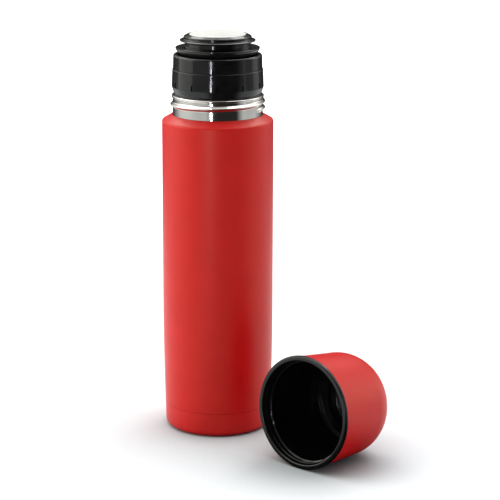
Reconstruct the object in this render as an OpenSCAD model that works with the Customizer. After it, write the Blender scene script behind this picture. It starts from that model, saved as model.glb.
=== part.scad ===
// Vacuum flask: double-walled steel bottle, push-button pouring stopper and a screw-on cup that lies beside it.
// Millimetres, +Z up, origin at the centre of the flask's foot on the surface it stands on.

/* [Flask body] */
// Outer diameter of the painted body
body_d = 68; // [66:0.5:70]
// Height of the seam between the bottom cap and the body
seam_z = 15; // [13:0.5:18]
// Height at which the body reaches its full diameter
taper_top_z = 80; // [60:5:100]
// How much slimmer the body is at the foot than at full diameter, on the radius
taper_drop = 1.5; // [1:0.1:1.8]
// Rounding of the bottom corner
foot_round = 4.5; // [3:0.5:5.5]
// Thickness of the outer steel wall
shell_wall = 0.5; // [0.45:0.05:0.7]
// Thickness of the inner steel wall
vessel_wall = 0.45; // [0.4:0.05:0.6]
// Outer diameter of the inner bottle
vessel_d = 60.4; // [59:0.2:61]

/* [Neck] */
// Outer diameter of the bare steel neck below its thread
neck_d = 54.9; // [54.4:0.1:55.2]
// Height of the neck's rolled lip
lip_z = 208.8; // [208.4:0.1:208.9]
// Height of the rolled thread above the neck's surface
neck_thread_h = 1.45; // [1:0.05:1.6]
// Pitch of the thread
thread_pitch = 4; // [3.8:0.05:4.1]

/* [Stopper] */
// Largest diameter of the grip collar
collar_d = 55.9; // [55:0.1:56.2]
// Height of the stopper's upper collar
collar_top_z = 233.3; // [232.8:0.1:233.5]
// Number of snap windows round the grip collar
window_count = 11; // [8:1:12]
// Diameter of the fixed drip flange
drip_flange_d = 51.2; // [50:0.2:51.6]
// Diameter of the release ring's flange
ring_flange_d = 46; // [45:0.2:46.2]
// Diameter of the steel disc on the button
disc_d = 34.4; // [34:0.1:34.6]
// Height of the top of the steel disc
disc_top_z = 245.5; // [245.4:0.05:245.6]

/* [Cup] */
// Length of the cup from its lip to the top of its dome
cup_length = 57; // [56.6:0.1:57.4]
// Outer diameter of the painted cup wall at the mouth
cup_mouth_d = 66.4; // [66:0.1:66.8]
// Outer diameter of the black lip
cup_lip_d = 67.7; // [67.4:0.1:68]
// Angle by which the wall of the cup narrows towards the dome
cup_draft = 3.46; // [3.2:0.02:3.6]
// Rounding between wall and dome
dome_corner_r = 22.1; // [21:0.1:23]
// Radius of the dome's flat middle part
dome_top_r = 60; // [56:1:64]
// Where the middle of the cup's mouth lies, to the right of the flask's axis
cup_x = 48.8; // [46:0.1:60]
// Where the middle of the cup's mouth lies, in front of the flask's axis
cup_y = -86.3; // [-110:0.1:-86]
// Direction in which the dome points, turned from +Y towards +X
cup_heading = 43.4; // [38:0.1:50]

/* [Hidden] */
$fn = 96;

// Colours
paint_red = "#c9362c";
bare_steel = "#c4c2bd";
plastic_black = "#1b1b1d";
silicone_grey = "#55575a";
copper = "#b87333";

// Flask body
body_r = body_d / 2;
edge_r = 1.2;
edge_turn = 60;
shoulder_edge_z = 192.1;
neckline_z = 196.7;
seam_gap = 0.15;
weld_gap = 0.05;
foot_ring_r = 24.4;
recess_r = 22.6;
recess_h = 1.8;
taper_steps = 6;
plate_top_z = 19;
dimple_z = 17;

// Inner bottle
neck_r = neck_d / 2;
vessel_r = vessel_d / 2;
vessel_bottom_z = 27;
vessel_corner_r = 5;
vessel_shoulder_z = 181;
neck_start_z = 192.5;
lip_bore_r = 26.25;
lip_outer_r = 28.1;
ridge_half = thread_pitch / 2 - 0.15;
ridge_low_z = 200.8;
ridge_high_z = ridge_low_z + thread_pitch - 0.25;
ridge_steps = 8;

// Stopper
seat_gap = 0.3;
stopper_seat_z = lip_z + seat_gap;
plug_r = 25.05;
plug_bore_r = 23.5;
plug_bottom_z = 188.6;
plug_thread_r = 25.9;
sleeve_bore_r = 25.68;
sleeve_core_r = 25.6;
step_z = 224.4;
upper_collar_r = 27.15;
stem_r = 2.5;
stem_bore_r = 2.55;
valve_opening_r = 14;
valve_seat_z = 186.5;
guide_bore_r = 17.5;
guide_sleeve_r = 18.6;
guide_top_z = 241.6;
ring_bottom_z = 236.4;
ring_flange_z = 241.6;
button_r = disc_d / 2;
button_top_z = disc_top_z - 0.95;
window_z = [213.9, 217.1];
window_w = 1.5;
window_first_angle = -90.7;
spring_turns = 7.5;
spring_mean_r = 8.2;
spring_wire_r = 0.45;
spring_rings_per_turn = 12;
spring_sides = 6;
spring_z = [216.5, 241.7];

// Cup, in its own frame: the mouth is at height 0 and the dome's top at cup_length
cup_wall = 0.6;
liner_gap = 0.08;
liner_wall = 1.5;
lip_h = 2.2;
lip_r = cup_lip_d / 2;
mouth_r = cup_mouth_d / 2;
cup_bore_r = 30.1;
cup_thread_r = 28.5;
cup_step_z = 45.6;
dome_shift_x = lip_h - dome_corner_r * sin(cup_draft) - (cup_length - dome_top_r);
dome_shift_r = mouth_r - dome_corner_r * cos(cup_draft);
dome_b = dome_shift_x * cos(cup_draft) - dome_shift_r * sin(cup_draft);
dome_c = pow(dome_shift_x, 2) + pow(dome_shift_r, 2) - pow(dome_top_r - dome_corner_r, 2);
wall_run = -dome_b + sqrt(pow(dome_b, 2) - dome_c);
corner_z = lip_h + wall_run * cos(cup_draft) - dome_corner_r * sin(cup_draft);
corner_r = mouth_r - wall_run * sin(cup_draft) - dome_corner_r * cos(cup_draft);
corner_end = atan2(corner_r, corner_z - (cup_length - dome_top_r));

// The cup rests on the rear edge of its lip and on the start of its dome
rest_dx = corner_z - lip_h;
rest_dy = corner_r - lip_r;
cup_tilt = -(atan2(rest_dy, rest_dx) + asin(dome_corner_r / norm([rest_dx, rest_dy])));
cup_z = lip_r * cos(cup_tilt) + lip_h * sin(cup_tilt);

// Points along an arc, as [radius, height]
function arc(cx, cz, r, from, to, n) =
    [for (i = [0:n]) let (a = from + (to - from) * i / n) [cx + r * cos(a), cz + r * sin(a)]];

// The same arc with its two coordinates exchanged, for angles measured from the axis of the cup
function cup_arc(r, from, to, n) =
    [for (i = [0:n]) let (a = from + (to - from) * i / n) [corner_r + r * sin(a), corner_z + r * cos(a)]];

function dome_arc(r, from, n) =
    [for (i = [0:n]) let (a = from * (1 - i / n)) [r * sin(a), cup_length - dome_top_r + r * cos(a)]];

function reversed(list) = [for (i = [len(list) - 1:-1:0]) list[i]];

// Radius of the painted body at a height
function shell_r(z) =
    z >= taper_top_z ? body_r : body_r - taper_drop * pow((taper_top_z - z) / taper_top_z, 2);

// Radius of the painted cup wall at a height above its mouth
function cup_wall_r(z) = mouth_r - (z - lip_h) * tan(cup_draft);

// One rolled thread ridge as a wave on a surface of radius base, up to base plus crest
function ridge(base, crest, z) =
    [for (i = [0:ridge_steps]) let (u = i / ridge_steps)
        [base + crest * (1 - cos(360 * u)) / 2, z - ridge_half + 2 * ridge_half * u]];

module lathe(points) {
    rotate_extrude() polygon(points);
}

// Puts a piece of the cup, made with its mouth at height 0, where it lies
module lay_cup() {
    translate([cup_x, cup_y, cup_z])
        rotate([0, 90 + cup_tilt, 90 - cup_heading])
            children();
}

module outer_shell() {
    low = seam_z + seam_gap;
    heights = [for (i = [0:taper_steps]) low + (taper_top_z - low) * i / taper_steps];
    inner_z = shoulder_edge_z + 0.2;
    color(paint_red)
        lathe(concat(
            [for (z = heights) [shell_r(z), z]],
            arc(body_r - edge_r, shoulder_edge_z, edge_r, 0, edge_turn, 5),
            [[neck_r + weld_gap, neckline_z],
             [neck_r + weld_gap, neckline_z - shell_wall],
             [body_r - shell_wall, inner_z]],
            [for (z = reversed(heights)) [shell_r(z) - shell_wall, z]]
        ));
}

module base_cap() {
    wall_r = shell_r(foot_round);
    corner = wall_r - foot_round;
    mid_z = (foot_round + seam_z) / 2;
    color(paint_red)
        lathe(concat(
            [[0, recess_h], [recess_r, recess_h], [recess_r + 1, 0.6], [foot_ring_r, 0]],
            arc(corner, foot_round, foot_round, -90, 0, 8),
            [[shell_r(mid_z), mid_z],
             [shell_r(seam_z), seam_z],
             [shell_r(seam_z) - shell_wall, seam_z],
             [shell_r(mid_z) - shell_wall, mid_z]],
            arc(corner, foot_round, foot_round - shell_wall, 0, -90, 8),
            [[foot_ring_r + 0.4, shell_wall],
             [recess_r + 1.5, 1.4],
             [recess_r + 0.3, recess_h + shell_wall],
             [0, recess_h + shell_wall]]
        ));
}

module vacuum_plate() {
    skirt_r = shell_r(9) - shell_wall - 0.08;
    top_z = plate_top_z;
    color(bare_steel)
        lathe([
            [skirt_r, 9],
            [skirt_r, top_z - 1],
            [skirt_r - 1, top_z],
            [8, top_z],
            [6, dimple_z],
            [0, dimple_z],
            [0, dimple_z - shell_wall],
            [6.4, dimple_z - shell_wall],
            [8.4, top_z - shell_wall],
            [skirt_r - 1.3, top_z - shell_wall],
            [skirt_r - shell_wall, top_z - 1.3],
            [skirt_r - shell_wall, 9]
        ]);
}

module vacuum_seal() {
    bead_r = 3.2;
    bead_h = 1.1;
    top_z = dimple_z - shell_wall - 0.02;
    color("darkolivegreen")
        lathe(concat(
            [[0, top_z - bead_h]],
            [for (a = [15:15:90]) [bead_r * sin(a), top_z - bead_h * cos(a)]],
            [[0, top_z]]
        ));
}

module getter() {
    pellet_r = 5;
    rim_h = 1.6;
    color("dimgray")
        translate([15, 0, plate_top_z + 0.05])
            lathe([
                [0, 0],
                [pellet_r, 0],
                [pellet_r, rim_h],
                [pellet_r - 0.6, rim_h],
                [pellet_r - 0.6, rim_h - 0.5],
                [0, rim_h - 0.5]
            ]);
}

module inner_vessel() {
    shoulder = [
        [vessel_r, vessel_shoulder_z],
        [vessel_r - 0.3, vessel_shoulder_z + 2.6],
        [vessel_r - 1.2, vessel_shoulder_z + 5.8],
        [vessel_r - 2.2, vessel_shoulder_z + 8.8],
        [neck_r, neck_start_z]
    ];
    wave = concat(
        ridge(neck_r, neck_thread_h, ridge_low_z),
        ridge(neck_r, neck_thread_h, ridge_high_z)
    );
    inside = concat([[vessel_r, vessel_bottom_z]], shoulder, wave);
    color(bare_steel)
        lathe(concat(
            inside,
            [[lip_outer_r, lip_z - 2.2]],
            arc(lip_outer_r - 1.1, lip_z - 1.1, 1.1, 0, 90, 5),
            [[lip_bore_r + 0.35, lip_z],
             [lip_bore_r, lip_z - 0.35],
             [lip_bore_r, lip_z - 2]],
            [for (p = reversed(inside)) [p[0] - vessel_wall, p[1]]]
        ));
}

module inner_bottom() {
    corner = vessel_r - vessel_corner_r;
    flat_z = vessel_bottom_z - vessel_corner_r;
    rise = 1.2;
    color(bare_steel)
        lathe(concat(
            [[0, flat_z + rise], [corner * 0.55, flat_z + rise * 0.3]],
            arc(corner, vessel_bottom_z, vessel_corner_r, -90, 0, 8),
            arc(corner, vessel_bottom_z, vessel_corner_r - vessel_wall, 0, -90, 8),
            [[corner * 0.55, flat_z + vessel_wall + rise * 0.3], [0, flat_z + vessel_wall + rise]]
        ));
}

module reflective_wrap() {
    foil_t = 0.2;
    gap = 0.15;
    low = vessel_bottom_z + 3;
    high = vessel_shoulder_z - 3;
    color(copper)
        translate([0, 0, low])
            difference() {
                cylinder(r = vessel_r + gap + foil_t, h = high - low);
                translate([0, 0, -1])
                    cylinder(r = vessel_r + gap, h = high - low + 2);
            }
}

module neck_seal() {
    inner_r = plug_r + 0.08;
    outer_r = lip_bore_r - 0.1;
    top_z = stopper_seat_z - 0.2;
    color(silicone_grey)
        lathe([
            [inner_r, top_z - 2.3],
            [outer_r - 0.25, top_z - 2.3],
            [outer_r, top_z - 1.9],
            [outer_r - 0.2, top_z - 1.5],
            [outer_r, top_z - 1.1],
            [outer_r, top_z - 0.4],
            [outer_r - 0.25, top_z],
            [inner_r, top_z]
        ]);
}

module snap_hooks() {
    for (i = [0:window_count - 1])
        rotate([0, 0, window_first_angle + i * 360 / window_count])
            translate([sleeve_core_r - 0.6, 0.13 - window_w / 2, window_z[0] + 0.25])
                cube([2.2, window_w - 0.26, window_z[1] - window_z[0] - 0.5]);
}

module stopper_body() {
    thread_turns = [for (i = [1:3]) plug_bottom_z + i * thread_pitch];
    threads = [for (z = thread_turns) each [
        [plug_r, z - 1.3],
        [plug_thread_r, z - 0.4],
        [plug_thread_r, z + 0.4],
        [plug_r, z + 1.3]
    ]];
    upper_r = upper_collar_r - 0.3;
    color(plastic_black)
        union() {
            lathe(concat(
                [[plug_bore_r, plug_bottom_z], [plug_r - 0.5, plug_bottom_z], [plug_r, plug_bottom_z + 0.6]],
                threads,
                [[plug_r, stopper_seat_z],
                 [sleeve_core_r, stopper_seat_z],
                 [sleeve_core_r, step_z],
                 [upper_collar_r, step_z],
                 [upper_r, collar_top_z - 2]],
                arc(upper_r - 2, collar_top_z - 2, 2, 10, 90, 6),
                [[upper_r - 2.15, collar_top_z],
                 [upper_r - 2.35, collar_top_z - 0.3],
                 [upper_r - 2.35, collar_top_z - 4.1],
                 [plug_bore_r, collar_top_z - 5.9]]
            ));
            snap_hooks();
        }
}

module grip_collar() {
    collar_r = collar_d / 2;
    color(plastic_black)
        difference() {
            lathe([
                [sleeve_bore_r, stopper_seat_z],
                [sleeve_bore_r + 0.62, stopper_seat_z],
                [collar_r, 213.6],
                [collar_r, 213.9],
                [collar_r - 0.2, 219],
                [collar_r - 0.45, step_z - 0.2],
                [collar_r - 0.6, step_z - 0.05],
                [sleeve_bore_r, step_z - 0.05]
            ]);
            for (i = [0:window_count - 1])
                rotate([0, 0, window_first_angle + i * 360 / window_count])
                    translate([sleeve_bore_r - 1, -window_w / 2, window_z[0]])
                        cube([6, window_w, window_z[1] - window_z[0]]);
        }
}

module plug_base() {
    spigot_r = plug_bore_r - 0.08;
    color(plastic_black)
        lathe([
            [valve_opening_r, valve_seat_z],
            [plug_r - 0.6, valve_seat_z],
            [plug_r - 0.1, valve_seat_z + 0.5],
            [plug_r - 0.1, plug_bottom_z - 0.02],
            [spigot_r, plug_bottom_z - 0.02],
            [spigot_r, plug_bottom_z + 3],
            [spigot_r - 1.2, plug_bottom_z + 3],
            [spigot_r - 1.2, plug_bottom_z],
            [valve_opening_r + 1, plug_bottom_z],
            [valve_opening_r, plug_bottom_z - 1]
        ]);
}

module pour_guide() {
    flange_r = drip_flange_d / 2;
    core_r = 19.2;
    floor_z = 214;
    pocket_z = 234.4;
    flange_z = 237.2;
    boss_r = 6;
    gland_r = 4.2;
    rib_t = 1.6;
    color(plastic_black)
        union() {
            lathe([
                [stem_bore_r, floor_z],
                [core_r, floor_z],
                [core_r, 228.6],
                [22.8, 231.4],
                [flange_r - 0.3, flange_z - 0.6],
                [flange_r, flange_z - 0.3],
                [flange_r, flange_z + 0.1],
                [flange_r - 0.3, flange_z + 0.3],
                [flange_r - 1.3, flange_z],
                [20.3, flange_z],
                [20.3, pocket_z],
                [guide_sleeve_r, pocket_z],
                [guide_sleeve_r, guide_top_z],
                [guide_bore_r, guide_top_z],
                [guide_bore_r, floor_z + 2],
                [boss_r, floor_z + 2],
                [boss_r, floor_z + 6],
                [gland_r, floor_z + 6],
                [gland_r, floor_z + 3.2],
                [stem_bore_r, floor_z + 3.2]
            ]);
            for (i = [0:3])
                rotate([0, 0, 45 + i * 90])
                    translate([core_r - 0.5, -rib_t / 2, floor_z])
                        cube([plug_bore_r - core_r + 0.4, rib_t, 7]);
        }
}

module stem_seal() {
    color(silicone_grey)
        translate([0, 0, 218.05])
            rotate_extrude()
                translate([3.38, 0])
                    circle(r = 0.8, $fn = 24);
}

// Wire of the spring as one swept tube: a ring of points every few degrees of the coil
function spring_ring(t) =
    let (turn = 360 * spring_turns * t, z = spring_z[0] + (spring_z[1] - spring_z[0]) * t)
    [for (s = [0:spring_sides - 1])
        let (a = 360 * s / spring_sides, r = spring_mean_r + spring_wire_r * cos(a))
        [r * cos(turn), r * sin(turn), z + spring_wire_r * sin(a)]];

module button_spring() {
    rings = spring_turns * spring_rings_per_turn;
    sides = spring_sides;
    points = [for (i = [0:rings]) each spring_ring(i / rings)];
    walls = [for (i = [0:rings - 1], s = [0:sides - 1])
        [i * sides + s, i * sides + (s + 1) % sides, (i + 1) * sides + (s + 1) % sides, (i + 1) * sides + s]];
    start_face = [for (s = [sides - 1:-1:0]) s];
    end_face = [for (s = [0:sides - 1]) rings * sides + s];
    color("silver")
        polyhedron(points = points, faces = concat(walls, [start_face, end_face]));
}

module release_ring() {
    flange_r = ring_flange_d / 2;
    crown_r = 20.6;
    neck_outer_r = 19.9;
    neck_inner_r = guide_sleeve_r + 0.3;
    bore_r = button_r + 0.3;
    crown_z = disc_top_z - 0.15;
    color(plastic_black)
        lathe([
            [bore_r, 243.4],
            [bore_r, crown_z - 0.35],
            [bore_r + 0.2, crown_z - 0.05],
            [bore_r + 0.6, crown_z],
            [crown_r - 0.4, 244.3],
            [crown_r, 243.8],
            [crown_r, ring_flange_z + 0.9],
            [flange_r - 0.4, ring_flange_z + 0.45],
            [flange_r, ring_flange_z + 0.15],
            [flange_r, ring_flange_z - 0.2],
            [flange_r - 0.3, ring_flange_z - 0.4],
            [neck_outer_r, ring_flange_z - 0.8],
            [neck_outer_r, ring_bottom_z],
            [neck_inner_r, ring_bottom_z],
            [neck_inner_r, 243.4]
        ]);
}

module push_button() {
    skirt_in_r = 15.6;
    skirt_z = 222.4;
    boss_r = 4.5;
    boss_z = 234;
    plate_z = 242.2;
    slot_w = 2;
    color(plastic_black)
        difference() {
            lathe([
                [stem_r + 0.02, boss_z],
                [boss_r, boss_z],
                [boss_r, plate_z],
                [skirt_in_r, plate_z],
                [skirt_in_r, skirt_z],
                [button_r, skirt_z],
                [button_r, button_top_z],
                [0, button_top_z],
                [0, 241.6],
                [stem_r + 0.02, 241.6]
            ]);
            for (i = [0:3])
                rotate([0, 0, i * 90])
                    translate([skirt_in_r - 1, -slot_w / 2, skirt_z - 1])
                        cube([4, slot_w, 10]);
        }
}

module button_disc() {
    color("#f2f2f0")
        lathe([
            [0, button_top_z + 0.02],
            [button_r, button_top_z + 0.02],
            [button_r, disc_top_z - 0.4],
            [button_r - 0.3, disc_top_z - 0.08],
            [0, disc_top_z]
        ]);
}

module valve_stem() {
    color(bare_steel)
        lathe([
            [0, 190.6],
            [1.25, 190.6],
            [1.25, 182.7],
            [stem_r, 182.7],
            [stem_r, 241.2],
            [stem_r - 0.2, 241.4],
            [0, 241.4]
        ]);
}

module valve_disc() {
    color(plastic_black)
        lathe([
            [stem_bore_r, 182.6],
            [16.8, 182.6],
            [17.4, 183.2],
            [17.4, 184.9],
            [14.4, 184.9],
            [13.6, 187.2],
            [12.8, 187.8],
            [4, 187.8],
            [stem_bore_r, 187.2]
        ]);
}

module valve_seal() {
    color(silicone_grey)
        lathe([
            [14.5, 184.95],
            [17.2, 184.95],
            [17.2, 186],
            [16.4, valve_seat_z - 0.05],
            [14.5, valve_seat_z - 0.3]
        ]);
}

module valve_screw() {
    head_z = 180.8;
    seat_z = 182.58;
    color("silver")
        difference() {
            lathe([
                [0, head_z],
                [2.6, head_z],
                [3.1, head_z + 0.6],
                [3.1, seat_z],
                [1.2, seat_z],
                [1.2, 189.8],
                [0, 189.8]
            ]);
            for (a = [0, 90])
                rotate([0, 0, a])
                    translate([-1.8, -0.35, head_z - 1])
                        cube([3.6, 0.7, 1.9]);
        }
}

module cup_shell() {
    inner_r = dome_corner_r - cup_wall;
    wall_start = 90 - cup_draft;
    color(paint_red)
        lay_cup()
            lathe(concat(
                [[mouth_r, lip_h]],
                cup_arc(dome_corner_r, wall_start, corner_end, 14),
                dome_arc(dome_top_r, corner_end, 6),
                reversed(dome_arc(dome_top_r - cup_wall, corner_end, 6)),
                cup_arc(inner_r, corner_end, wall_start, 14),
                [[mouth_r - cup_wall / cos(cup_draft), lip_h]]
            ));
}

module cup_liner() {
    skin = cup_wall + liner_gap;
    outer_r = dome_corner_r - skin;
    inner_r = dome_corner_r - skin - liner_wall;
    wall_start = 90 - cup_draft;
    step_angle = acos((cup_step_z - corner_z) / inner_r);
    taper_from = lip_h + (mouth_r - skin - liner_wall - cup_bore_r) / tan(cup_draft);
    pocket_r = 23.6;
    threads = [for (z = [2:-1:1]) each [
        [cup_bore_r, 3.1 + z * thread_pitch + 1.3],
        [cup_thread_r, 3.1 + z * thread_pitch + 0.4],
        [cup_thread_r, 3.1 + z * thread_pitch - 0.4],
        [cup_bore_r, 3.1 + z * thread_pitch - 1.3]
    ]];
    color(plastic_black)
        lay_cup()
            lathe(concat(
                [[lip_r - 0.95, 0],
                 [lip_r - 0.35, 0.15],
                 [lip_r, 0.6],
                 [lip_r, lip_h - 0.05],
                 [mouth_r - skin / cos(cup_draft), lip_h - 0.05]],
                cup_arc(outer_r, wall_start, corner_end, 14),
                dome_arc(dome_top_r - skin, corner_end, 6),
                [[0, cup_length - 3.4],
                 [18.2, cup_length - 3.7],
                 [20.9, cup_length - 5.3],
                 [22.7, cup_length - 7.2],
                 [pocket_r - 0.05, cup_length - 9.4],
                 [pocket_r, cup_step_z + 0.4]],
                cup_arc(inner_r, step_angle, wall_start, 8),
                [[cup_bore_r, taper_from]],
                threads,
                [[cup_bore_r, 3.6],
                 [lip_r - 2.4, 2.6]]
            ));
}

outer_shell();
base_cap();
vacuum_plate();
vacuum_seal();
getter();
inner_vessel();
inner_bottom();
reflective_wrap();
neck_seal();
stopper_body();
grip_collar();
plug_base();
pour_guide();
stem_seal();
button_spring();
release_ring();
push_button();
button_disc();
valve_stem();
valve_disc();
valve_seal();
valve_screw();
cup_shell();
cup_liner();
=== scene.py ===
"""Looks of the vacuum flask: smooth turned pieces, procedural materials, a white sweep and soft studio light.

All profiles are in millimetres as (radius, height) or (radius, height, rounding) and are turned about an axis.
The axis is Z for the flask and the stopper. The cup is turned about Z too, and then laid down where it rests.
"""

import math

import bmesh
import bpy
import numpy as np
from mathutils import Matrix, Vector


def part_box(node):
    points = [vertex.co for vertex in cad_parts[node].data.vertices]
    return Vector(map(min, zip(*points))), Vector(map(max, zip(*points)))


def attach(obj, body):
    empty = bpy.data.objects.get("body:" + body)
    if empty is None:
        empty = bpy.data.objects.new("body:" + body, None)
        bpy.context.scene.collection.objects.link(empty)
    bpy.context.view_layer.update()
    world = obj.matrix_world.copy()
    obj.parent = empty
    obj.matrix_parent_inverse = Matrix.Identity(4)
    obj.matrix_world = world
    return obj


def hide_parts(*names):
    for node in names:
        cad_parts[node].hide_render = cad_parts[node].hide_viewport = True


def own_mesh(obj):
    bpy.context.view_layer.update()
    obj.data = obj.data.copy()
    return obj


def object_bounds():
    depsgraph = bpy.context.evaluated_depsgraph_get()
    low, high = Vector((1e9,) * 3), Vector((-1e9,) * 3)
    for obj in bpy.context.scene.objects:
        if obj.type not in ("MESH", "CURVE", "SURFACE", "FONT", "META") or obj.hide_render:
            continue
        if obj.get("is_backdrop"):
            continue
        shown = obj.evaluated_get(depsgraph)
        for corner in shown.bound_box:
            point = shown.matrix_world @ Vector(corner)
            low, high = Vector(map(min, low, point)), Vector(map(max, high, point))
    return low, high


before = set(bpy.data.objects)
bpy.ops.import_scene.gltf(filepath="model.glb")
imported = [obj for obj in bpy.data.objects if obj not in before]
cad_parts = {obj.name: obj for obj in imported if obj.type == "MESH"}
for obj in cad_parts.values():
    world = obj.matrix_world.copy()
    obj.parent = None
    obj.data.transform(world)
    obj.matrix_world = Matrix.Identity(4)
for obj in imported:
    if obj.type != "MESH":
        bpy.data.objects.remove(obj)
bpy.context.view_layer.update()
scene = bpy.context.scene
MM = 0.001
TURN = 2 * math.pi
SHARP_ANGLE = math.radians(38)
PAINTED_WALL = 0.5  # thickness of the painted steel, in millimetres


# ---------------------------------------------------------------- camera
# Place in metres, angles in degrees, lens and sensor in millimetres, from a fit to the object's rings and edges
CAMERA_AT = (0, -1.1722, 0.4005)
LOOK_DOWN, LOOK_LEFT, ROLL = 13.869, -0.970, 0.160
LENS, SENSOR = 140.43, 36
CLIP_NEAR, CLIP_FAR = 0.05, 50


def aim_camera():
    """The camera stands in front of the flask, a little higher than its top, and looks down at it."""
    pitch, yaw, roll = (math.radians(a) for a in (LOOK_DOWN, LOOK_LEFT, ROLL))
    forward = Vector((-math.sin(yaw) * math.cos(pitch), math.cos(yaw) * math.cos(pitch), -math.sin(pitch)))
    right = Vector((math.cos(yaw), math.sin(yaw), 0))
    up = right.cross(forward)
    rolled_right = math.cos(roll) * right + math.sin(roll) * up
    rolled_up = -math.sin(roll) * right + math.cos(roll) * up
    data = bpy.data.cameras.new("camera")
    data.sensor_width = SENSOR
    data.lens = LENS
    data.clip_start, data.clip_end = CLIP_NEAR, CLIP_FAR
    camera = bpy.data.objects.new("camera", data)
    place = Matrix((rolled_right, rolled_up, -forward)).transposed().to_4x4()
    place.translation = Vector(CAMERA_AT)
    camera.matrix_world = place
    scene.collection.objects.link(camera)
    scene.camera = camera


aim_camera()


# ---------------------------------------------------------------- turned pieces
ARC_STEP = 12  # degrees between the points of a rounded corner
HOLD_GAP = 0.25  # distance of the holding point from the end of the arc, in radii
LONG_EDGE = 4  # an edge gets a holding point if it is longer than this many reaches of the rounding
MOST_OF_EDGE = 0.49  # a rounding takes no more than this share of an edge
STRAIGHT = math.radians(89)  # a corner with a half angle over this is left as it is


def rounded(outline, closed):
    """Replaces each corner that has a rounding by an arc, with a holding point beside each end of it."""
    pts = [np.array(p[:2], float) for p in outline]
    rad = [p[2] if len(p) > 2 else 0 for p in outline]
    n = len(pts)
    out = []
    for i, p in enumerate(pts):
        if rad[i] <= 0 or (not closed and i in (0, n - 1)):
            out.append(p)
            continue
        a, b = pts[i - 1] - p, pts[(i + 1) % n] - p
        la, lb = np.linalg.norm(a), np.linalg.norm(b)
        ua, ub = a / la, b / lb
        half = math.acos(max(-1, min(1, float(ua @ ub)))) / 2
        if half > STRAIGHT:
            out.append(p)
            continue
        reach = min(rad[i] / math.tan(half), MOST_OF_EDGE * la, MOST_OF_EDGE * lb)
        r = reach * math.tan(half)
        mid = (ua + ub) / np.linalg.norm(ua + ub)
        centre = p + mid * (r / math.sin(half))
        start, end = p + ua * reach, p + ub * reach
        a0 = math.atan2(*(start - centre)[::-1])
        a1 = math.atan2(*(end - centre)[::-1])
        sweep = (a1 - a0 + math.pi) % TURN - math.pi
        k = max(2, math.ceil(abs(math.degrees(sweep)) / ARC_STEP))
        if la > LONG_EDGE * reach:
            out.append(p + ua * (reach + HOLD_GAP * r))
        for j in range(k + 1):
            t = a0 + sweep * j / k
            out.append(centre + r * np.array((math.cos(t), math.sin(t))))
        if lb > LONG_EDGE * reach:
            out.append(p + ub * (reach + HOLD_GAP * r))
    return np.array(out)


def turned(name, outline, segs=180, closed=True, shape=None, place=None):
    """Turns a rounded outline about Z. An open outline starts and ends on the axis.

    shape moves the points by radius, height and angle, and place lays the finished piece down.
    """
    prof = rounded(outline, closed)
    ang = np.arange(segs) * TURN / segs
    ring = prof if closed else prof[1:-1]
    m = len(ring)
    r = np.repeat(ring[:, 0][None], segs, 0)
    z = np.repeat(ring[:, 1][None], segs, 0)
    a = np.repeat(ang[:, None], m, 1)
    if shape:
        r, z = shape(r, z, a)
    verts = np.stack((r * np.cos(a), r * np.sin(a), z), -1).reshape(-1, 3)
    faces = []
    for i in range(segs):
        j = (i + 1) % segs
        for k in range(m if closed else m - 1):
            k2 = (k + 1) % m
            faces.append((i * m + k, j * m + k, j * m + k2, i * m + k2))
    if not closed:
        verts = np.vstack((verts, [(0, 0, prof[0, 1])], [(0, 0, prof[-1, 1])]))
        low, high = len(verts) - 2, len(verts) - 1
        for i in range(segs):
            j = (i + 1) % segs
            faces.append((i * m, low, j * m))
            faces.append((i * m + m - 1, j * m + m - 1, high))
    return solid(name, verts, faces, place)


def shade(mesh):
    """Smooth shading, with sharp edges where faces meet at a steep angle."""
    mesh.shade_smooth()
    mesh.set_sharp_from_angle(angle=SHARP_ANGLE)


def solid(name, verts, faces, place=None):
    """A new object from points in millimetres, with its normals outwards, moved by place if there is one."""
    verts = np.asarray(verts, float) * MM
    if place is not None:
        verts = verts @ np.array(place.to_3x3()).T + np.array(place.translation)
    mesh = bpy.data.meshes.new(name)
    mesh.from_pydata(verts.tolist(), [], faces)
    mesh.validate()
    bm = bmesh.new()
    bm.from_mesh(mesh)
    bmesh.ops.recalc_face_normals(bm, faces=bm.faces)
    bm.to_mesh(mesh)
    bm.free()
    shade(mesh)
    obj = bpy.data.objects.new(name, mesh)
    scene.collection.objects.link(obj)
    return obj


BOX_FACES = ((0, 1, 3, 2), (4, 6, 7, 5), (0, 4, 5, 1), (2, 3, 7, 6), (0, 2, 6, 4), (1, 5, 7, 3))


def blocks_around(name, angles, half_width, low, inner, outer):
    """Blocks that stand round the axis on the height low. inner and outer are (radius, top) of a block's two ends."""
    verts, faces = [], []
    for a in angles:
        radial, side = Vector((math.cos(a), math.sin(a), 0)), Vector((-math.sin(a), math.cos(a), 0))
        base = len(verts)
        for r, top in (inner, outer):
            for s in (-1, 1):
                for z in (low, top):
                    verts.append(tuple(radial * r + side * s * half_width + Vector((0, 0, z))))
        faces += [tuple(base + k for k in face) for face in BOX_FACES]
    return solid(name, verts, faces)


def finish_piece(obj, material, body, slot, *nodes):
    """Gives a piece its material and body, and hides the CAD nodes that it stands for. slot is not used."""
    obj.data.materials.clear()
    obj.data.materials.append(material)
    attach(obj, body)
    if nodes:
        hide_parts(*nodes)


def extent(node):
    """Outer radius, lowest and highest height of a round CAD node, in millimetres."""
    low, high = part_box(node)
    return (high.x - low.x) / 2 / MM, low.z / MM, high.z / MM


# ---------------------------------------------------------------- materials
# Sockets of the Mix node when it mixes colours
MIX_FACTOR, MIX_A, MIX_B, MIX_RESULT = 0, 6, 7, 2
MIDDLE = (0.3, 0.7)  # most of a noise lies between these


def tree_of(name):
    """A new material with its node tree and its shader."""
    mat = bpy.data.materials.new(name)
    mat.use_nodes = True
    nt = mat.node_tree
    return mat, nt, nt.nodes["Principled BSDF"]


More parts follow.
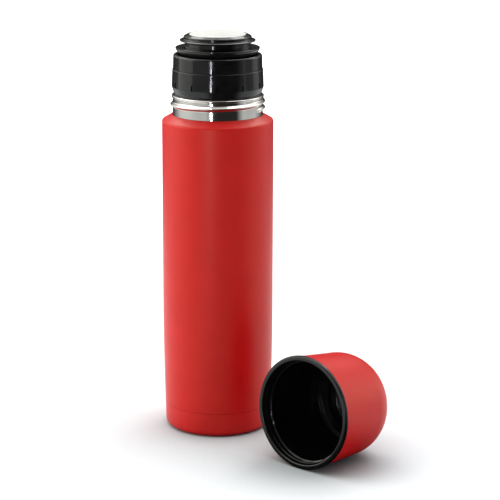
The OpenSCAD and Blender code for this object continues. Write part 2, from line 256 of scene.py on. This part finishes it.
def add(nt, kind, **values):
    """A new node. A value named in_Some_Socket sets that socket, and any other sets a property of the node."""
    node = nt.nodes.new(kind)
    for key, value in values.items():
        if key.startswith("in_"):
            node.inputs[key[3:].replace("_", " ")].default_value = value
        else:
            setattr(node, key, value)
    return node


def noise(nt, coords, scale, detail=2.0, rough=0.5, stretch=None):
    """Noise over object coordinates, in features per metre. stretch squeezes the axes."""
    src = coords
    if stretch:
        mapping = add(nt, "ShaderNodeMapping")
        mapping.inputs["Scale"].default_value = stretch
        nt.links.new(coords, mapping.inputs["Vector"])
        src = mapping.outputs[0]
    tex = add(nt, "ShaderNodeTexNoise", in_Scale=scale, in_Detail=detail, in_Roughness=rough)
    nt.links.new(src, tex.inputs["Vector"])
    return tex.outputs["Fac"]


def ramp(nt, value, low, high, to_low, to_high):
    """Maps a value from the range low to high onto the range to_low to to_high, and holds it beyond the ends."""
    node = add(nt, "ShaderNodeMapRange", in_From_Min=low, in_From_Max=high, in_To_Min=to_low, in_To_Max=to_high)
    nt.links.new(value, node.inputs["Value"])
    return node.outputs[0]


def blend_colour(nt, factor, a, b):
    """Mixes two colours. Each is a tuple or a socket."""
    node = add(nt, "ShaderNodeMix", data_type="RGBA")
    nt.links.new(factor, node.inputs[MIX_FACTOR])
    for index, colour in ((MIX_A, a), (MIX_B, b)):
        if isinstance(colour, tuple):
            node.inputs[index].default_value = (*colour, 1)
        else:
            nt.links.new(colour, node.inputs[index])
    return node.outputs[MIX_RESULT]


def bumps(nt, bsdf, *layers):
    """Chains bump layers of (height, strength, depth in millimetres) into the shader."""
    normal = None
    for height, strength, depth in layers:
        bump = add(nt, "ShaderNodeBump", in_Strength=strength, in_Distance=depth * MM)
        nt.links.new(height, bump.inputs["Height"])
        if normal:
            nt.links.new(normal, bump.inputs["Normal"])
        normal = bump.outputs[0]
    nt.links.new(normal, bsdf.inputs["Normal"])


def coordinates(nt):
    """Object coordinates, in metres in the shared frame."""
    return add(nt, "ShaderNodeTexCoord").outputs["Object"]


def paint(name, deep, light, roughness):
    """Satin soft-touch paint: fine orange peel, faint mottling and uneven sheen."""
    mat, nt, bsdf = tree_of(name)
    co = coordinates(nt)
    mottle = ramp(nt, noise(nt, co, 60, 3), *MIDDLE, 0, 1)
    nt.links.new(blend_colour(nt, mottle, deep, light), bsdf.inputs["Base Color"])
    sheen = ramp(nt, noise(nt, co, 900, 2), *MIDDLE, roughness - 0.03, roughness + 0.03)
    nt.links.new(sheen, bsdf.inputs["Roughness"])
    bsdf.inputs["Specular IOR Level"].default_value = 0.3
    bsdf.inputs["Specular Tint"].default_value = (1.0, 0.97, 0.68, 1)
    bumps(nt, bsdf, (noise(nt, co, 1400, 2), 0.12, 0.02), (noise(nt, co, 160, 1), 0.05, 0.05))
    return mat


def plastic(name, colour, roughness, level=0.5):
    """Moulded plastic: faint flow mottling, gloss that varies and a shallow skin texture."""
    mat, nt, bsdf = tree_of(name)
    co = coordinates(nt)
    paler = tuple(min(1, c * 1.5 + 0.002) for c in colour)
    mottle = ramp(nt, noise(nt, co, 90, 3), 0.35, 0.75, 0, 1)
    nt.links.new(blend_colour(nt, mottle, colour, paler), bsdf.inputs["Base Color"])
    gloss = ramp(nt, noise(nt, co, 240, 4, 0.6), 0.3, 0.75, roughness - 0.04, roughness + 0.06)
    nt.links.new(gloss, bsdf.inputs["Roughness"])
    bumps(nt, bsdf, (noise(nt, co, 500, 2), 0.05, 0.03))
    bsdf.inputs["Specular IOR Level"].default_value = level
    return mat


def metal(name, colour, roughness, brushed=(1, 1, 60), grain=0.08):
    """Turned or drawn metal: fine lines across the squeezed axes, small patches of uneven polish."""
    mat, nt, bsdf = tree_of(name)
    co = coordinates(nt)
    bsdf.inputs["Metallic"].default_value = 1.0
    lines = noise(nt, co, 120, 3, 0.6, brushed)
    darker = tuple(c * 0.82 for c in colour)
    patch = ramp(nt, noise(nt, co, 45, 2), *MIDDLE, 0, 1)
    nt.links.new(blend_colour(nt, patch, darker, colour), bsdf.inputs["Base Color"])
    nt.links.new(ramp(nt, lines, *MIDDLE, roughness * 0.8, roughness * 1.25), bsdf.inputs["Roughness"])
    bumps(nt, bsdf, (lines, grain, 0.01))
    return mat


def rubber(name, colour):
    """Silicone rubber: matt, with fine speckle and a skin texture."""
    mat, nt, bsdf = tree_of(name)
    co = coordinates(nt)
    paler = tuple(c * 1.35 for c in colour)
    speckle = ramp(nt, noise(nt, co, 400, 3), 0.35, 0.7, 0, 1)
    nt.links.new(blend_colour(nt, speckle, colour, paler), bsdf.inputs["Base Color"])
    nt.links.new(ramp(nt, noise(nt, co, 700, 2), *MIDDLE, 0.5, 0.68), bsdf.inputs["Roughness"])
    bumps(nt, bsdf, (noise(nt, co, 1500, 2), 0.15, 0.02))
    return mat


RED_DEEP, RED_LIGHT = (0.465, 0.0016, 0.0040), (0.505, 0.0022, 0.0050)
BLACK = (0.0035, 0.0033, 0.0034)
red = paint("satin_red_paint", RED_DEEP, RED_LIGHT, 0.40)
black = plastic("moulded_black", BLACK, 0.11, level=0.33)
black_liner = plastic("moulded_black_liner", (0.002, 0.002, 0.002), 0.17, level=0.3)
black_inner = plastic("moulded_black_inner", (0.012, 0.012, 0.012), 0.38)
steel = metal("polished_steel", (0.68, 0.66, 0.62), 0.09)
drawn_steel = metal("drawn_steel", (0.6, 0.59, 0.57), 0.32)
disc_steel = metal("satin_disc_steel", (0.54, 0.545, 0.525), 0.5, (60, 1, 1), 0.05)
silicone = rubber("grey_silicone", (0.12, 0.125, 0.13))
wire = metal("spring_wire", (0.62, 0.61, 0.6), 0.22)
copper = metal("copper_foil", (0.85, 0.42, 0.26), 0.25, (1, 1, 8), 0.2)
pellet = metal("sintered_pellet", (0.22, 0.22, 0.23), 0.6, (1, 1, 1), 0.5)
solder = plastic("glass_solder", (0.03, 0.035, 0.015), 0.12)

# ---------------------------------------------------------------- flask body
body_r, seam_z, neckline_z = extent("outer_shell")
vessel_r, vessel_low, lip_z = extent("inner_vessel")
TAPER_TOP, TAPER_DROP = 80, 1.5  # the body narrows below this height, by this much at the floor


def shell_r(z):
    """Outer radius of the body at a height."""
    return body_r - TAPER_DROP * max(0, (TAPER_TOP - z) / TAPER_TOP) ** 2


def make_shell():
    """The painted outer wall, with the sloping shoulder that ends at the neck."""
    low = seam_z
    heights = [low + (TAPER_TOP - low) * i / 12 for i in range(1, 13)]
    outline = [(shell_r(low), low, 0.06)] + [(shell_r(z), z) for z in heights]
    outline += [(body_r, 193.1, 1.6), (27.65, neckline_z, 0.2), (27.65, neckline_z - PAINTED_WALL)]
    outline += [(body_r - PAINTED_WALL, 192.6)] + [(shell_r(z) - PAINTED_WALL, z) for z in reversed(heights)]
    outline += [(shell_r(low) - PAINTED_WALL, low)]
    obj = turned("body_shell", outline, 240)
    finish_piece(obj, red, "flask", "body_paint", "outer_shell")


def make_base():
    """The bottom cap, with a recessed middle and a faint seam where it meets the outer wall."""
    top = extent("base_cap")[2]
    floor_z = 1.8
    corner_r = shell_r(4.5)
    outline = [(0, floor_z), (22.6, floor_z, 0.4), (23.6, 0.6, 0.3), (24.4, 0, 0.2), (corner_r, 0, 4.6)]
    outline += [(shell_r(10), 10), (shell_r(top), top, 0.06), (shell_r(top) - PAINTED_WALL, top)]
    outline += [(shell_r(10) - PAINTED_WALL, 10), (corner_r - PAINTED_WALL, PAINTED_WALL, 4.1)]
    outline += [(24.8, PAINTED_WALL), (23.9, 1.4), (22.9, floor_z + PAINTED_WALL), (0, floor_z + PAINTED_WALL)]
    obj = turned("bottom_cap", outline, 240, closed=False)
    finish_piece(obj, red, "flask", "base_paint", "base_cap")


make_shell()
make_base()

# The bare neck carries a rolled screw thread, so its wall follows a helix inside and out.
NECK_R, THREAD_H, PITCH = 27.45, 1.45, 4.0
THREAD_START_Z, THREAD_HALF = 200.8, 1.75  # height of the ridge at angle 0, and half its width
RUN_IN, RUN_OUT = math.radians(-35), math.radians(430)  # angles where the ridge starts and ends
RUN_FADE = 0.6  # radians over which it rises and sinks


def thread_wave(z, a):
    """Height of the ridge, 0 to 1, at a height and an angle measured from +X."""
    total = np.zeros_like(z)
    for turn in (-1, 0, 1):
        t = a + turn * TURN
        run = np.clip((t - RUN_IN) / RUN_FADE, 0, 1) * np.clip((RUN_OUT - t) / RUN_FADE, 0, 1)
        run = run * run * (3 - 2 * run)
        u = np.clip(np.abs(z - THREAD_START_Z - PITCH * t / TURN) / THREAD_HALF, 0, 1)
        total = np.maximum(total, run * (1 + np.cos(math.pi * u)) / 2)
    return total


def make_vessel():
    """The inner bottle with its bare, threaded neck and rolled lip."""
    wall = 0.45
    zs = [197 + 0.22 * i for i in range(46)]
    outer = [(vessel_r, vessel_low), (vessel_r, 181, 8), (28.0, 189.8, 3), (NECK_R, 192.5, 2)]
    outer += [(NECK_R, z) for z in zs]
    lip = [(28.0, 207.3, 0.6), (28.1, lip_z, 1.1), (26.25, lip_z, 0.4), (26.25, lip_z - 2, 0.3)]
    inner = [(r - wall, z) + tuple(rest) for r, z, *rest in reversed(outer)]

    def shape(r, z, a):
        wall_zone = (z >= zs[0] - 0.01) & (z <= zs[-1] + 0.01)
        return r + np.where(wall_zone, THREAD_H * thread_wave(z, a), 0), z

    obj = turned("inner_bottle", outer + lip + inner, 240, shape=shape)
    finish_piece(obj, steel, "flask", "vessel_steel", "inner_vessel")


make_vessel()

# ---------------------------------------------------------------- stopper
WINDOWS, FIRST_WINDOW = 11, math.radians(-90.7)
window_angles = [FIRST_WINDOW + i * TURN / WINDOWS for i in range(WINDOWS)]
collar_r, seat_z, sleeve_top = extent("grip_collar")
collar_top = extent("stopper_body")[2]


def cut_windows(obj):
    """Cuts the snap windows with an exact boolean, then applies it."""
    low, high = 213.9, 217.1
    cutter = blocks_around("window_cutter", window_angles, 0.75, low, (24.5, high), (30, high))
    mod = obj.modifiers.new("windows", "BOOLEAN")
    mod.operation, mod.solver, mod.object = "DIFFERENCE", "EXACT", cutter
    depsgraph = bpy.context.evaluated_depsgraph_get()
    mesh = bpy.data.meshes.new_from_object(obj.evaluated_get(depsgraph))
    obj.modifiers.clear()
    obj.data = mesh
    bpy.data.objects.remove(cutter)
    shade(mesh)


def make_grip():
    """The grip sleeve that is snapped over the lower half of the stopper."""
    inner = 25.68
    outline = [
        (inner, seat_z, 0.1),
        (26.3, seat_z, 0.25),
        (collar_r, 213.75, 0.5),
        (27.75, 219, 3),
        (27.5, sleeve_top, 0.45),
        (inner, sleeve_top, 0.1),
    ]
    obj = turned("grip_sleeve", outline, 220)
    cut_windows(obj)
    finish_piece(obj, black, "stopper", "grip_plastic", "grip_collar")


def plug_thread(low, high):
    """Shape function that adds a screw ridge to the plug's wall between two heights."""
    turns, fade = 2.6, 0.5
    start, half_width, flank, ridge = 2.2, 1.25, 0.85, 0.85
    margin, inside_r = 0.3, 24.5

    def shape(r, z, a):
        total = np.zeros_like(z)
        for turn in range(-1, 4):
            t = a + turn * TURN
            run = np.clip(t / fade, 0, 1) * np.clip((turns * TURN - t) / fade, 0, 1)
            u = np.clip((half_width - np.abs(z - low - start - PITCH * t / TURN)) / flank, 0, 1)
            total = np.maximum(total, run * u)
        zone = (z > low + margin) & (z < high - margin) & (r > inside_r)
        return r + np.where(zone, ridge * total, 0), z

    return shape


def make_stopper():
    """The moulded barrel of the stopper, and the hooks that reach through the windows of the grip sleeve."""
    low = extent("stopper_body")[1]
    plug_r = 25.05
    wall_zs = [low + 0.8 + 0.25 * i for i in range(62)]
    outline = [(23.5, low, 0.3), (plug_r, low, 0.4)]
    outline += [(plug_r, z) for z in wall_zs]
    outline += [
        (plug_r, seat_z),
        (25.6, seat_z, 0.1),
        (25.6, 224.4),
        (27.15, 224.4, 0.25),
        (26.87, collar_top, 2.1),
        (24.6, collar_top, 0.25),
        (24.5, 229.2, 0.6),
        (23.5, 227.4, 0.6),
    ]
    obj = turned("stopper_barrel", outline, 220, shape=plug_thread(low, wall_zs[-1]))
    hooks = blocks_around("snap_hooks", window_angles, 0.62, 214.15, (25.3, 216.95), (27.2, 216.75))
    finish_piece(hooks, black, "stopper", "stopper_plastic")
    finish_piece(obj, black, "stopper", "stopper_plastic", "stopper_body")


def make_guide():
    """The drip flange and the sleeve that guides the button, held in the barrel by four ribs."""
    flange_r, _, top = extent("pour_guide")
    outline = [
        (2.55, 214, 0.2),
        (19.2, 214, 0.5),
        (19.2, 228.6, 2),
        (22.8, 231.4, 1.2),
        (flange_r - 0.1, 236.7, 0.5),
        (flange_r - 0.05, 237.5, 0.3),
        (24.2, 237.2, 0.6),
        (20.3, 237.2, 0.25),
        (20.3, 234.4, 0.3),
        (18.6, 234.4, 0.3),
        (18.6, top, 0.3),
        (17.5, top, 0.3),
        (17.5, 216, 0.8),
        (6, 216, 0.6),
        (6, 220, 0.4),
        (4.2, 220, 0.2),
        (4.2, 217.2, 0.1),
        (2.55, 217.2, 0.1),
    ]
    obj = turned("drip_guide", outline, 200)
    finish_piece(obj, black, "stopper", "guide_plastic", "pour_guide")
    rib_angles = [math.radians(45 + 90 * i) for i in range(4)]
    ribs = blocks_around("guide_ribs", rib_angles, 0.8, 214, (18.9, 221), (23.4, 221))
    finish_piece(ribs, black, "stopper", "guide_plastic")


def make_ring():
    """The flanged ring round the button that lets it up again."""
    flange_r, low, top = extent("release_ring")
    outline = [
        (17.5, 243.4, 0.15),
        (17.5, 245.2, 0.25),
        (18.1, top, 0.3),
        (20.5, 244.15, 0.5),
        (20.6, 242.35, 0.5),
        (22.3, 242.1, 0.5),
        (flange_r + 0.05, 241.75, 0.4),
        (flange_r - 0.2, 241.2, 0.3),
        (19.9, 240.75, 0.5),
        (19.9, low, 0.3),
        (18.9, low, 0.2),
        (18.9, 243.4, 0.2),
    ]
    obj = turned("release_collar", outline, 200)
    finish_piece(obj, black, "release", "ring_plastic", "release_ring")


def make_button():
    """The bright disc on the button, with a softened edge."""
    disc_r, low, top = extent("button_disc")
    outline = [(0, low), (disc_r, low, 0.1), (disc_r, top - 0.02, 0.4), (disc_r - 1.2, top, 2), (0, top)]
    obj = turned("disc_plate", outline, 180, closed=False)
    finish_piece(obj, disc_steel, "button", "disc_steel", "button_disc")


def make_neck_seal():
    """The silicone ring between the stopper and the lip of the neck, with two fine grooves."""
    _, low, top = extent("neck_seal")
    inner = 25.13
    outline = [
        (inner, low, 0.2),
        (26.0, low, 0.3),
        (26.15, low + 0.5, 0.2),
        (25.85, low + 0.9, 0.2),
        (26.15, low + 1.3, 0.2),
        (26.1, top, 0.3),
        (inner, top, 0.2),
    ]
    finish_piece(turned("lip_seal", outline, 180), silicone, "seal_ring", "silicone", "neck_seal")


def make_spring():
    """The button's spring, of round wire."""
    turns, mean_r, wire_r = 7.5, 8.2, 0.45
    low, high = 216.5, 241.7
    per_turn, sides = 40, 10
    steps = int(turns * per_turn)
    verts, faces = [], []
    for i in range(steps + 1):
        t = i / steps
        a = TURN * turns * t
        z = low + (high - low) * t
        for s in range(sides):
            b = TURN * s / sides
            r = mean_r + wire_r * math.cos(b)
            verts.append((r * math.cos(a), r * math.sin(a), z + wire_r * math.sin(b)))
    for i in range(steps):
        for s in range(sides):
            s2 = (s + 1) % sides
            faces.append((i * sides + s, i * sides + s2, (i + 1) * sides + s2, (i + 1) * sides + s))
    faces.append(tuple(range(sides))[::-1])
    faces.append(tuple(steps * sides + s for s in range(sides)))
    obj = solid("coil_spring", verts, faces)
    finish_piece(obj, wire, "stopper", "spring_steel", "button_spring")
    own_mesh(obj)


make_grip()
make_stopper()
make_guide()
make_ring()
make_button()
make_neck_seal()
make_spring()

# ---------------------------------------------------------------- cup
CUP_LENGTH, LIP_H, LIP_R, MOUTH_R = 57, 2.2, 33.85, 33.2
DRAFT = math.radians(3.46)  # angle by which the wall narrows
CORNER, DOME = 22.1, 60  # radii of the rounding and of the closed end
CUP_AT = (48.8, -86.3)  # place of the middle of the mouth, seen from above
CUP_HEADING = 43.4  # degrees from +Y towards +X to where the closed end points


def cup_arcs():
    """Centre of the rounding between wall and dome as (height, radius), and the angle where the dome starts."""
    dx = LIP_H - CORNER * math.sin(DRAFT) - (CUP_LENGTH - DOME)
    dr = MOUTH_R - CORNER * math.cos(DRAFT)
    b = dx * math.cos(DRAFT) - dr * math.sin(DRAFT)
    run = -b + math.sqrt(b * b - dx * dx - dr * dr + (DOME - CORNER) ** 2)
    z = LIP_H + run * math.cos(DRAFT) - CORNER * math.sin(DRAFT)
    r = MOUTH_R - run * math.sin(DRAFT) - CORNER * math.cos(DRAFT)
    return z, r, math.atan2(r, z - (CUP_LENGTH - DOME))


corner_z, corner_r, dome_from = cup_arcs()
# The cup lies on the edge of its lip and on the rounding of its closed end
rest_dx, rest_dy = corner_z - LIP_H, corner_r - LIP_R
tilt = -(math.atan2(rest_dy, rest_dx) + math.asin(CORNER / math.hypot(rest_dx, rest_dy)))
cup_height = LIP_R * math.cos(tilt) + LIP_H * math.sin(tilt)
cup_place = (
    Matrix.Translation(Vector((*CUP_AT, cup_height)) * MM)
    @ Matrix.Rotation(math.radians(90 - CUP_HEADING), 4, "Z")
    @ Matrix.Rotation(math.radians(90) + tilt, 4, "Y")
)


def cup_skin(depth):
    """Points of the cup's outside at a depth under the paint, from the mouth to the top of the dome."""
    start = math.pi / 2 - DRAFT
    corner_steps, dome_steps = 22, 12
    pts = []
    for i in range(corner_steps + 1):
        a = start + (dome_from - start) * i / corner_steps
        pts.append((corner_r + (CORNER - depth) * math.sin(a), corner_z + (CORNER - depth) * math.cos(a)))
    for i in range(1, dome_steps + 1):
        a = dome_from * (1 - i / dome_steps)
        pts.append(((DOME - depth) * math.sin(a), CUP_LENGTH - DOME + (DOME - depth) * math.cos(a)))
    return pts


def wall_at(z, depth):
    """Radius of the straight wall at a height above the mouth and a depth under the paint."""
    return MOUTH_R - (z - LIP_H) * math.tan(DRAFT) - depth / math.cos(DRAFT)


def make_cup():
    """The painted outside of the cup."""
    outer, inner = cup_skin(0), cup_skin(PAINTED_WALL)
    outer[-1], inner[-1] = (0, outer[-1][1]), (0, inner[-1][1])
    outline = outer[::-1]
    outline += [(wall_at(12, 0), 12), (MOUTH_R, LIP_H, 0.12)]
    outline += [(wall_at(LIP_H, PAINTED_WALL), LIP_H), (wall_at(12, PAINTED_WALL), 12)] + inner
    obj = turned("cup_outside", outline, 240, closed=False, place=cup_place)
    finish_piece(obj, red, "cup", "cup_paint", "cup_shell")


def make_liner():
    """The moulded lining of the cup: lip, mouth with its thread, rounded wall and the stepped deep end."""
    skin, thick, bore = 0.65, 1.5, 30.1
    outer = cup_skin(skin)
    outer[-1] = (0, outer[-1][1])
    step_z = 45.6
    inner_r = CORNER - skin - thick
    at_step = math.acos((step_z - corner_z) / inner_r)
    start = math.pi / 2 - DRAFT
    angles = np.linspace(start, at_step, 14)
    arc = [(corner_r + inner_r * math.sin(a), corner_z + inner_r * math.cos(a)) for a in angles]
    seat = LIP_H - 0.05
    outline = outer[::-1]
    outline += [(wall_at(10, skin), 10), (wall_at(LIP_H, skin), seat, 0.1), (LIP_R, seat, 0.35)]
    outline += [(LIP_R, 0, 1.0), (31.0, 0.1, 0.7), (bore + 0.3, 2.7, 0.2), (bore, 3.0, 0.15)]
    outline += [(bore, 3.9 + 0.2 * i) for i in range(46)]
    outline += [(bore, LIP_H + (wall_at(LIP_H, skin + thick) - bore) / math.tan(DRAFT), 0)]
    outline += [tuple(p) for p in arc[1:-1]] + [(*arc[-1], 0.35)]
    outline += [(23.3, step_z + 0.1, 0.35), (20.5, 48.3, 0.3), (20.15, 50.6, 1.6), (17.8, 53.1, 1.2), (0, 53.6)]

    run_in, run_out, fade = -1.3, 0.83 * TURN, 0.5
    middle_z, half_width, flank, ridge = 6.75, 1.45, 0.45, 0.8

    def shape(r, z, a):
        total = np.zeros_like(z)
        for turn in (-1, 0, 1):
            t = a + turn * TURN
            run = np.clip((t - run_in) / fade, 0, 1) * np.clip((run_out - t) / fade, 0, 1)
            u = np.clip((half_width - np.abs(z - middle_z - PITCH * t / TURN)) / flank, 0, 1)
            total = np.maximum(total, run * u * u * (3 - 2 * u))
        zone = (z > 3.5) & (z < 15) & (r < 30.6) & (r > 28)
        return r - np.where(zone, ridge * total, 0), z

    obj = turned("cup_lining", outline, 240, closed=False, shape=shape, place=cup_place)
    finish_piece(obj, black_liner, "cup", "liner_plastic", "cup_liner")


make_cup()
make_liner()

# ---------------------------------------------------------------- CAD nodes that stay, inside the flask and stopper
for node, material in {
    "vacuum_plate": drawn_steel,
    "vacuum_seal": solder,
    "getter": pellet,
    "inner_bottom": drawn_steel,
    "reflective_wrap": copper,
    "plug_base": black_inner,
    "stem_seal": silicone,
    "push_button": black_inner,
    "valve_stem": drawn_steel,
    "valve_disc": black_inner,
    "valve_seal": silicone,
    "valve_screw": drawn_steel,
}.items():
    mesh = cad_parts[node].data
    mesh.materials.clear()
    mesh.materials.append(material)


# ---------------------------------------------------------------- floor and light
# Reaches are in metres from the flask's axis, and facings are cosines from a direction
FLOOR_HALF = 9
FLOOR_TONES = (0.67, 0.70, 0.725), (0.69, 0.72, 0.745)
DARK_TONE = (0.02, 0.02, 0.02)
FRONT_AT, FRONT_REACH, FRONT_FACING = 18, (0.0, 0.1), (0.58, 0.86)
BACK_REACH, BACK_FACING, BACK_SHARE = (0.45, 0.85), (0.3, 0.85), (0.35, 0.97)
# Painted shade: where ambient occlusion is deep, near the flask and the cup, the floor's colour goes to this dark
# tone
PAINTED_CONTACT_SHADE, CONTACT_DISTANCE, CONTACT_LEVEL = (0.25, 0.29, 0.30), 0.12, 0.12
LIFT_REACH, LIFT = (0.2, 0.9), 0.7


def compass(azimuth, rise=0):
    """A direction by its azimuth in degrees. 0 is the camera's side, positive is to the right."""
    a = math.radians(azimuth)
    return math.sin(a), -math.cos(a), rise


def maths(nt, operation, a, b):
    """A Math node's result. b is a number or a socket."""
    node = add(nt, "ShaderNodeMath", operation=operation)
    nt.links.new(a, node.inputs[0])
    if isinstance(b, (int, float)):
        node.inputs[1].default_value = b
    else:
        nt.links.new(b, node.inputs[1])
    return node.outputs[0]


def vector_maths(nt, operation, vector):
    """A Vector Math node that works on one vector."""
    node = add(nt, "ShaderNodeVectorMath", operation=operation)
    nt.links.new(vector, node.inputs[0])
    return node


def facing(nt, vector, direction):
    """Cosine between a vector of length 1 and a fixed direction."""
    node = vector_maths(nt, "DOT_PRODUCT", vector)
    node.inputs[1].default_value = direction
    return node.outputs["Value"]


def make_floor():
    """A white sweep.

    Reflections of it are darker towards the front right and far behind, where the real table met a dark room.
    Ambient occlusion darkens the floor's colour where the flask and the cup stand, a painted shade on top of the
    real shadows, and the camera sees the far floor lifted to white.
    """
    mat, nt, bsdf = tree_of("white_sweep")
    co = coordinates(nt)
    paths = add(nt, "ShaderNodeLightPath")
    reach = vector_maths(nt, "LENGTH", co).outputs["Value"]
    away = vector_maths(nt, "NORMALIZE", co).outputs[0]
    front = maths(
        nt,
        "MULTIPLY",
        ramp(nt, reach, *FRONT_REACH, 0, 1),
        ramp(nt, facing(nt, away, compass(FRONT_AT)), *FRONT_FACING, 0, 1),
    )
    back = maths(
        nt,
        "MULTIPLY",
        ramp(nt, reach, *BACK_REACH, 0, 1),
        ramp(nt, facing(nt, away, (0, 1, 0)), *BACK_FACING, *BACK_SHARE),
    )
    fade = maths(nt, "MULTIPLY", maths(nt, "MAXIMUM", front, back), paths.outputs["Is Glossy Ray"])
    grain = blend_colour(nt, noise(nt, co, 3, 2), *FLOOR_TONES)
    # Painted shade: ambient occlusion darkens the floor's colour where the flask and the cup stand
    near = add(nt, "ShaderNodeAmbientOcclusion", samples=6, in_Distance=CONTACT_DISTANCE)
    shaded = blend_colour(nt, ramp(nt, near.outputs["AO"], CONTACT_LEVEL, 1, 0, 1), PAINTED_CONTACT_SHADE, grain)
    nt.links.new(blend_colour(nt, fade, shaded, DARK_TONE), bsdf.inputs["Base Color"])
    bsdf.inputs["Roughness"].default_value = 0.9
    bsdf.inputs["Specular IOR Level"].default_value = 0.0
    lift = maths(nt, "MULTIPLY", ramp(nt, reach, *LIFT_REACH, 0, LIFT), paths.outputs["Is Camera Ray"])
    bsdf.inputs["Emission Color"].default_value = (1, 1, 1, 1)
    nt.links.new(lift, bsdf.inputs["Emission Strength"])
    size = FLOOR_HALF
    mesh = bpy.data.meshes.new("floor")
    mesh.from_pydata([(-size, -size, 0), (size, -size, 0), (size, size, 0), (-size, size, 0)], [], [(0, 1, 2, 3)])
    mesh.materials.append(mat)
    floor = bpy.data.objects.new("floor", mesh)
    scene.collection.objects.link(floor)
    floor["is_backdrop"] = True


def softbox(name, azimuth, elevation, distance, width, height, power, target=(0, 0, 0.13)):
    """An area light that points at target, distance metres from it. The camera doesn't see it.

    Azimuth 0 is on the camera's side, positive to the right. power is in watts for each colour.
    """
    a, e = math.radians(azimuth), math.radians(elevation)
    out = Vector((math.sin(a) * math.cos(e), -math.cos(a) * math.cos(e), math.sin(e)))
    top = max(power)
    data = bpy.data.lights.new(name, "AREA")
    data.shape, data.size, data.size_y = "RECTANGLE", width, height
    data.energy, data.color = top, [p / top for p in power]
    obj = bpy.data.objects.new(name, data)
    obj.location = Vector(target) + out * distance
    obj.rotation_mode = "QUATERNION"
    obj.rotation_quaternion = out.to_track_quat("Z", "Y")
    obj.visible_camera = False
    scene.collection.objects.link(obj)


def make_world(lobes):
    """Soft light from all round: each lobe is (direction, sharpness, colour). The camera itself sees plain white."""
    world = bpy.data.worlds.new("studio")
    scene.world = world
    world.use_nodes = True
    nt = world.node_tree
    direction = add(nt, "ShaderNodeTexCoord").outputs["Generated"]
    total = None
    for towards, sharpness, colour in lobes:
        front = maths(nt, "MAXIMUM", facing(nt, direction, Vector(towards).normalized()), 0)
        tinted = add(nt, "ShaderNodeVectorMath", operation="SCALE")
        tinted.inputs[0].default_value = colour
        nt.links.new(maths(nt, "POWER", front, sharpness), tinted.inputs["Scale"])
        if total is None:
            total = tinted.outputs[0]
        else:
            both = vector_maths(nt, "ADD", total)
            nt.links.new(tinted.outputs[0], both.inputs[1])
            total = both.outputs[0]
    camera_ray = add(nt, "ShaderNodeLightPath").outputs["Is Camera Ray"]
    nt.links.new(blend_colour(nt, camera_ray, total, (1, 1, 1)), nt.nodes["Background"].inputs["Color"])


# Light from all round, by azimuth: a low ring just over the horizon and a high ring at 45 degrees
LOW_RISE, LOW_SHARPNESS = 0.12, 12
LOW_RING = {
    -125: (1.9, 1.88, 1.7),
    -85: (3.2, 3.15, 2.8),
    -50: (0.35, 0.35, 0.33),
    -15: (0.05, 0.05, 0.05),
    50: (0.1, 0.1, 0.1),
    85: (0.6, 0.6, 0.6),
    115: (1.8, 1.78, 1.7),
}
HIGH_RISE, HIGH_SHARPNESS = 1, 6
HIGH_RING = {-120: 0.9, -60: 0.3, 60: 0.1, 120: 0.7}
LOBES = [(compass(azimuth, LOW_RISE), LOW_SHARPNESS, colour) for azimuth, colour in LOW_RING.items()]
LOBES += [(compass(azimuth, HIGH_RISE), HIGH_SHARPNESS, (v, v, v)) for azimuth, v in HIGH_RING.items()]
LOBES += [((0, 0.6, 0.8), 8, (0.6, 0.6, 0.6)), ((0.1, 0.15, 1), 6, (1.3, 1.3, 1.3))]
# Name, azimuth and elevation in degrees, distance, width and height in metres, power in watts for each colour
LIGHTS = [
    ("key_left", -92, 16, 1.3, 1.3, 1.0, (4.6, 4.5, 4.1)),
    ("side_right", 112, 12, 1.4, 0.6, 1.2, (1.4, 1.38, 1.3)),
    ("top_left", -105, 62, 1.3, 1.6, 0.9, (7.0, 6.95, 6.7)),
    ("top_right", 108, 62, 1.3, 1.6, 0.9, (7.5, 7.4, 7.2)),
    ("back_high", 180, 48, 1.4, 1.6, 0.45, (10, 10, 9.8)),
    ("fill_right", 72, 2, 1.3, 0.10, 0.8, (0.15, 0.15, 0.16)),
]
# A broken row of narrow lights, by lowest and highest height. It gives the stopper and the neck their bright line
STRIPS = ((0.072, 0.098), (0.108, 0.126), (0.136, 0.149), (0.156, 0.178), (0.2, 0.25))
STRIP_AT, STRIP_DISTANCE, STRIP_WIDTH = -16.5, 0.7, 0.02
STRIP_POWER = (5.4, 5.52, 6)  # watts for each metre of height
make_floor()
for light in LIGHTS:
    softbox(*light)
for low, high in STRIPS:
    height = high - low
    power = [height * p for p in STRIP_POWER]
    softbox("strip", STRIP_AT, 0, STRIP_DISTANCE, STRIP_WIDTH, height, power, (0, 0, (low + high) / 2))
make_world(LOBES)
scene.view_settings.view_transform = "Standard"
scene.view_settings.look = "None"

low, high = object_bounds()
